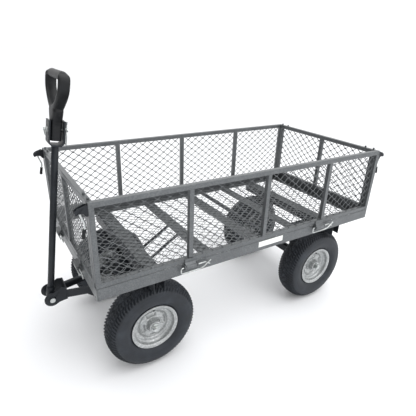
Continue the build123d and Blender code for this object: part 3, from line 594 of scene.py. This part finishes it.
def pockets(angle, out, radius):
    """Kidney-shaped pockets pressed into the disc: a ring between two radii, cut by ribs at equal angles."""
    ring = smooth_step(30.5, 34.5, radius) * (1 - smooth_step(44.5, 48.5, radius))
    lobe = smooth_step(-0.35, 0.15, np.cos(POCKETS * angle + 0.6))
    bosses = smooth_step(0.86, 0.97, np.cos(POCKETS * angle + 0.6 + np.pi))
    ridge = bosses * smooth_step(56.5, 59.0, radius) * (1 - smooth_step(64.0, 67.0, radius))
    return out - 7.0 * ring * lobe + 1.6 * ridge, np.broadcast_to(radius, np.broadcast(angle, radius).shape)


def valve(x, side):
    """The rubber valve stem and its cap: a round section along a line, waisted below the cap."""
    root = np.array((x, side * (TRACK_HALF + 20), AXLE_Z + 67))
    tip = np.array((x, side * (TRACK_HALF + 33), AXLE_Z + 63))
    t = np.linspace(0, 1, 14)
    stations = (0, 0.15, 0.2, 0.55, 0.58, 0.62, 0.94, 1)
    radii = np.interp(t, stations, (4.2, 3.8, 2.9, 2.7, 2.3, 3.0, 2.8, 2.0))
    return carried(root + t[:, None] * (tip - root), circle(1.0, 14), (1, 0, 0), scale=radii)


def hub_collar(x, side):
    """The dust cap pressed on the outboard end of the hub: a stepped ring with a rolled edge."""
    outside = ((36, 21.4), (38.5, 21.6), (40.2, 20.6), (40.9, 18.6), (40.9, 17.0))
    inside = ((40.2, 16.9), (40.05, 17.4), (36, 21.05))
    return turned(np.array(outside + inside), x, side, 64)


for end, x in AXLES.items():
    for side, sign in SIDES.items():
        wheel = f"{end}_{side}"
        body = wheel + "_wheel"
        make(
            wheel + "_treaded_tyre",
            [turned(tyre_profile(), x, sign, TREAD_LUGS * SAMPLES_PER_LUG, tread)],
            body,
            FINISHES["tyre_rubber"],
            [wheel + "_tyre"],
            60,
        )
        make(
            wheel + "_pressed_rim",
            [turned(rim_barrel(), x, sign, 96), turned(disc_profile(), x, sign, 160, pockets)],
            body,
            FINISHES["silver_rim"],
            [wheel + "_rim"],
            40,
        )
        stem, collar = [valve(x, sign)], [hub_collar(x, sign)]
        make(wheel + "_valve_stem", stem, body, FINISHES["black_plastic"], (), 40)
        make(wheel + "_hub_collar", collar, body, FINISHES["silver_rim"], (), 40)


# ---------------------------------------------------------------- latch levers

LEVER_X = 632.0
LATCH_Y = 297.0
LATCH_Z = 668.0


def curve(points, count):
    """A smooth curve through points: each stretch is the cubic with Catmull-Rom slopes at its ends."""
    points = np.asarray(points, float)
    slope = np.gradient(points, axis=0)
    t = np.linspace(0, len(points) - 1, count)
    i = np.minimum(t.astype(int), len(points) - 2)
    f = (t - i)[:, None]
    return (
        points[i] * (2 * f**3 - 3 * f**2 + 1)
        + slope[i] * (f**3 - 2 * f**2 + f)
        + points[i + 1] * (3 * f**2 - 2 * f**3)
        + slope[i + 1] * (f**3 - f**2)
    )


def mirrored(shells, end, side):
    """Shells drawn at the front left corner, moved to another corner."""
    flip = (1 if end == "front" else -1, SIDES[side], 1)
    return [(verts * flip, quads, caps) for verts, quads, caps in shells]


def lever_rod():
    """The lever's eye on its pin, and the round rod that bows in towards the post and hangs down from it."""
    bends = ((632, 668), (628, 652), (621.5, 633), (620.6, 624), (623, 611))
    path = curve([(x, LATCH_Y, z) for x, z in bends], 36)
    rod = carried(path, circle(2.75, 12), (0, 1, 0))
    t = np.linspace(-1, 1, 9)
    eye_path = np.stack((np.full(9, LEVER_X), LATCH_Y + 4.4 * t, np.full(9, LATCH_Z)), 1)
    eye = carried(eye_path, circle(6.0, 20), (1, 0, 0), scale=1 - 0.12 * t**6)
    return [rod, eye]


def lever_sleeve():
    """The dip-moulded sleeve: a round section down the rod with a rolled mouth and a domed end."""
    start = np.array((622.6, LATCH_Y, 614.5))
    end = np.array((627.9, LATCH_Y, 587.0))
    t = np.linspace(0, 1, 22)
    radii = np.interp(t, (0, 0.03, 0.08, 0.12, 0.9, 0.95, 0.98, 1), (4.7, 5.5, 5.5, 4.9, 5.3, 4.9, 4.0, 2.4))
    return [carried(start + t[:, None] * (end - start), circle(1.0, 16), (0, 1, 0), scale=radii)]


for end in AXLES:
    for side in SIDES:
        body = f"{end}_{side}_lever"
        make(
            body + "_rod",
            mirrored(lever_rod(), end, side),
            body,
            FINISHES["zinc_steel"],
            [f"{end}_{side}_latch_lever"],
        )
        make(
            body + "_sleeve",
            mirrored(lever_sleeve(), end, side),
            body,
            FINISHES["black_plastic"],
        )


# ---------------------------------------------------------------- handle grip

PIVOT = np.array((696.0, 0.0, 238.0))
GATE_REACH = np.array((HALF_LENGTH, CAGE_TOP)) - PIVOT[[0, 2]]
TUBE_CLEAR = 17.0
LEAN = math.atan2(-GATE_REACH[0], GATE_REACH[1]) - math.asin(TUBE_CLEAR / np.linalg.norm(GATE_REACH))


def leaned(points):
    """Points (fore-aft, across, height along the tube) of the handle, leaned back about its pivot."""
    x, y, h = points[..., 0], points[..., 1], points[..., 2]
    c, s = math.cos(LEAN), math.sin(LEAN)
    return np.stack((x * c - h * s, y, x * s + h * c), -1) + PIVOT


def grip_loop():
    """The teardrop loop: a superellipse carried round a closed curve, flat and deep along the two bands,
    round along the bar at the top."""
    bands = ((0, 650), (20, 655), (46, 670), (68, 688), (82, 706), (86.5, 726), (84, 742))
    bar_line = ((70, 746), (35, 746), (0, 746))
    left = np.array(bands + bar_line, float)
    knots = np.concatenate((left, left[1:-1][::-1] * (-1, 1)))
    wrapped = np.concatenate((knots[-2:], knots, knots[:3]))
    dense = curve(wrapped, 20 * (len(wrapped) - 1) + 1)[40:-40]
    path = np.stack((np.zeros(len(dense)), dense[:, 0], dense[:, 1]), 1)[:-1]
    ahead = np.roll(path, -1, 0) - np.roll(path, 1, 0)
    ahead /= np.linalg.norm(ahead, axis=1)[:, None]
    across = np.cross(ahead, (1.0, 0.0, 0.0))
    bar = smooth_step(734.0, 746.0, path[:, 2]) * (1 - smooth_step(66.0, 82.0, np.abs(path[:, 1])))
    foot = 1 - smooth_step(652.0, 676.0, path[:, 2])
    thick = 6.6 + 6.6 * bar + 5.0 * foot
    deep = 16.6 - 3.4 * bar
    unit = squircle(1.0, 1.0, 3.2, 36)
    round_unit = squircle(1.0, 1.0, 2.0, 36)
    shape = unit[None] * (1 - bar[:, None, None]) + round_unit[None] * bar[:, None, None]
    rings = path[:, None, :] + shape[..., :1] * deep[:, None, None] * np.array((1.0, 0.0, 0.0))
    rings = rings + shape[..., 1:] * thick[:, None, None] * across[:, None, :]
    verts, quads, caps = shell(rings, closed=True)
    return leaned(verts), quads, caps


def grip_neck():
    """The neck that stands in the clevis and widens into the two bands."""
    height = np.array((553, 555, 560, 575, 600, 612, 624, 634, 644, 652), float)
    across = np.array((15, 16.4, 17, 17, 17, 21, 28, 34, 38, 36), float)
    rings = np.empty((len(height), 40, 3))
    unit = squircle(1.0, 1.0, 4.0, 40)
    rings[..., 0] = 16.6 * unit[None, :, 0]
    rings[..., 1] = across[:, None] * unit[None, :, 1]
    rings[..., 2] = height[:, None]
    verts, quads, caps = shell(rings)
    return leaned(verts), quads, caps


def moulded(piece, voxel_mm, passes):
    """Joins a piece's shells into one skin and softens the corners between them, as a moulding has."""
    remesh = piece.modifiers.new("one_skin", "REMESH")
    remesh.mode = "VOXEL"
    remesh.voxel_size = voxel_mm * MM
    soften = piece.modifiers.new("fillets", "SMOOTH")
    soften.factor = 0.5
    soften.iterations = passes
    settled = bpy.data.meshes.new_from_object(piece.evaluated_get(bpy.context.evaluated_depsgraph_get()))
    settled.name = piece.name
    piece.modifiers.clear()
    piece.data = settled
    settled.shade_smooth()


PLASTIC = FINISHES["black_plastic"]
grip = make("moulded_grip", [grip_loop(), grip_neck()], "handle", PLASTIC, ["d_grip"])
bpy.context.view_layer.update()
moulded(grip, 1.5, 8)


# ---------------------------------------------------------------- carried-over nodes

NODE_FINISHES = {
    "hammered_grey": (
        "deck_side_rails",
        "deck_end_rails",
        "deck_straps",
        "left_side_frame",
        "right_side_frame",
        "rear_gate_frame",
        "front_gate_frame",
        "hinge_lugs",
    ),
    "black_steel": (
        "deck_bolsters",
        "front_pedestal",
        "underframe_stays",
        "rear_hangers",
        "rear_brace_bar",
        "front_axle_beam",
        "rear_axle_beam",
        "axle_risers",
        "turntable_plate",
        "drawbar_arms",
        "drawbar_knuckle",
        "handle_foot",
        "handle_tube",
        "hitch_clevis",
        "left_latch_brackets",
        "right_latch_brackets",
    ),
    "zinc_steel": (
        "king_bolt",
        "front_spindles",
        "rear_spindles",
        "front_axle_hardware",
        "rear_axle_hardware",
        "pivot_bolt",
        "hitch_pin",
        "pin_ring",
        "r_clip",
    ),
    "silver_rim": tuple(f"{end}_{side}_hub" for end in AXLES for side in SIDES),
    "nylon": ("turntable_washer",),
    "label": ("label_plate",),
}
ROUNDED_EDGES = {"hammered_grey": 1.4, "black_steel": 1.0}

for slot, nodes in NODE_FINISHES.items():
    for node in nodes:
        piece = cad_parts[node]
        piece.data.materials.clear()
        piece.data.materials.append(FINISHES[slot])
        if slot in ROUNDED_EDGES:
            weld = piece.modifiers.new("joined", "WELD")
            weld.merge_threshold = 0.00001
            bevel = piece.modifiers.new("rounded_edges", "BEVEL")
            bevel.width = ROUNDED_EDGES[slot] * MM
            bevel.segments = 2
            bevel.limit_method = "ANGLE"
            bevel.angle_limit = math.radians(40)
            bevel.use_clamp_overlap = False
            bevel.harden_normals = True


# ---------------------------------------------------------------- stage, light and camera

FLOOR_REACH = 60.0
FLOOR_RINGS = 60
FLOOR_SPOKES = 96
FLOOR_LEVEL = -0.0004


def studio_floor():
    """A round flat floor, far larger than the view: rings at equal steps out from the middle."""
    radius = np.linspace(0.02, FLOOR_REACH, FLOOR_RINGS)
    angle = np.linspace(0, 2 * np.pi, FLOOR_SPOKES, endpoint=False)
    rings = np.zeros((FLOOR_RINGS, FLOOR_SPOKES, 3))
    rings[..., 0] = radius[:, None] * np.cos(angle)[None, :]
    rings[..., 1] = radius[:, None] * np.sin(angle)[None, :]
    rings[..., 2] = FLOOR_LEVEL
    verts, quads, caps = shell(rings)
    mesh = bpy.data.meshes.new("studio_floor")
    mesh.from_pydata(verts.tolist(), [], quads.tolist() + [caps[0]])
    mesh.shade_smooth()
    piece = bpy.data.objects.new("studio_floor", mesh)
    bpy.context.scene.collection.objects.link(piece)
    return piece


def pale_floor(tree, where):
    """Plain pale backdrop paper."""
    return {"Base Color": linear("#f6f7f9"), "Roughness": 0.9, "Specular IOR Level": 0.1}


def soft_light(name, location, target, size, power):
    """A large square area light aimed at a point."""
    data = bpy.data.lights.new(name, "AREA")
    data.size = size
    data.energy = power
    lamp = bpy.data.objects.new(name, data)
    bpy.context.scene.collection.objects.link(lamp)
    lamp.location = location
    lamp.rotation_mode = "QUATERNION"
    lamp.rotation_quaternion = (Vector(target) - Vector(location)).to_track_quat("-Z", "Y")
    return lamp


floor = studio_floor()
floor.data.materials.append(finish("backdrop_paper", pale_floor))

MIDDLE = (0.0, 0.0, 0.4)
soft_light("overhead", (-0.4, 0.8, 4.2), MIDDLE, 3.5, 70)
soft_light("key", (-1.2, 3.6, 2.6), MIDDLE, 2.2, 30)

# A white room that darkens towards the front, so that faces turned forwards fall into shade.
world = bpy.data.worlds.new("studio")
world.use_nodes = True
room = world.node_tree
toward = add(room, "ShaderNodeSeparateXYZ", {0: add(room, "ShaderNodeTexCoord").outputs["Generated"]})
shade = add(
    room,
    "ShaderNodeMapRange",
    {"Value": toward.outputs["X"], "From Min": 0.05, "From Max": 0.85, "To Min": 1.32, "To Max": 0.3},
    interpolation_type="SMOOTHSTEP",
)
backdrop = room.nodes["Background"]
backdrop.inputs["Color"].default_value = (1.0, 1.0, 1.0, 1.0)
room.links.new(shade.outputs["Result"], backdrop.inputs["Strength"])
bpy.context.scene.world = world
bpy.context.scene.view_settings.view_transform = "Standard"

CAMERA_RIGHT = Vector((-0.84464, 0.53412, 0.03601))
CAMERA_UP = Vector((-0.18774, -0.35854, 0.91443))
CAMERA_BACK = Vector((0.50133, 0.76561, 0.40312))
CAMERA_PLACE = (825.2, 1195.2, 1069.5)
camera_data = bpy.data.cameras.new("camera")
camera_data.lens = 32.03
camera_data.sensor_width = 36.0
camera = bpy.data.objects.new("camera", camera_data)
bpy.context.scene.collection.objects.link(camera)
turn = Matrix((CAMERA_RIGHT, CAMERA_UP, CAMERA_BACK)).transposed().to_4x4()
camera.matrix_world = Matrix.Translation(place(CAMERA_PLACE).tolist()) @ turn
bpy.context.scene.camera = camera
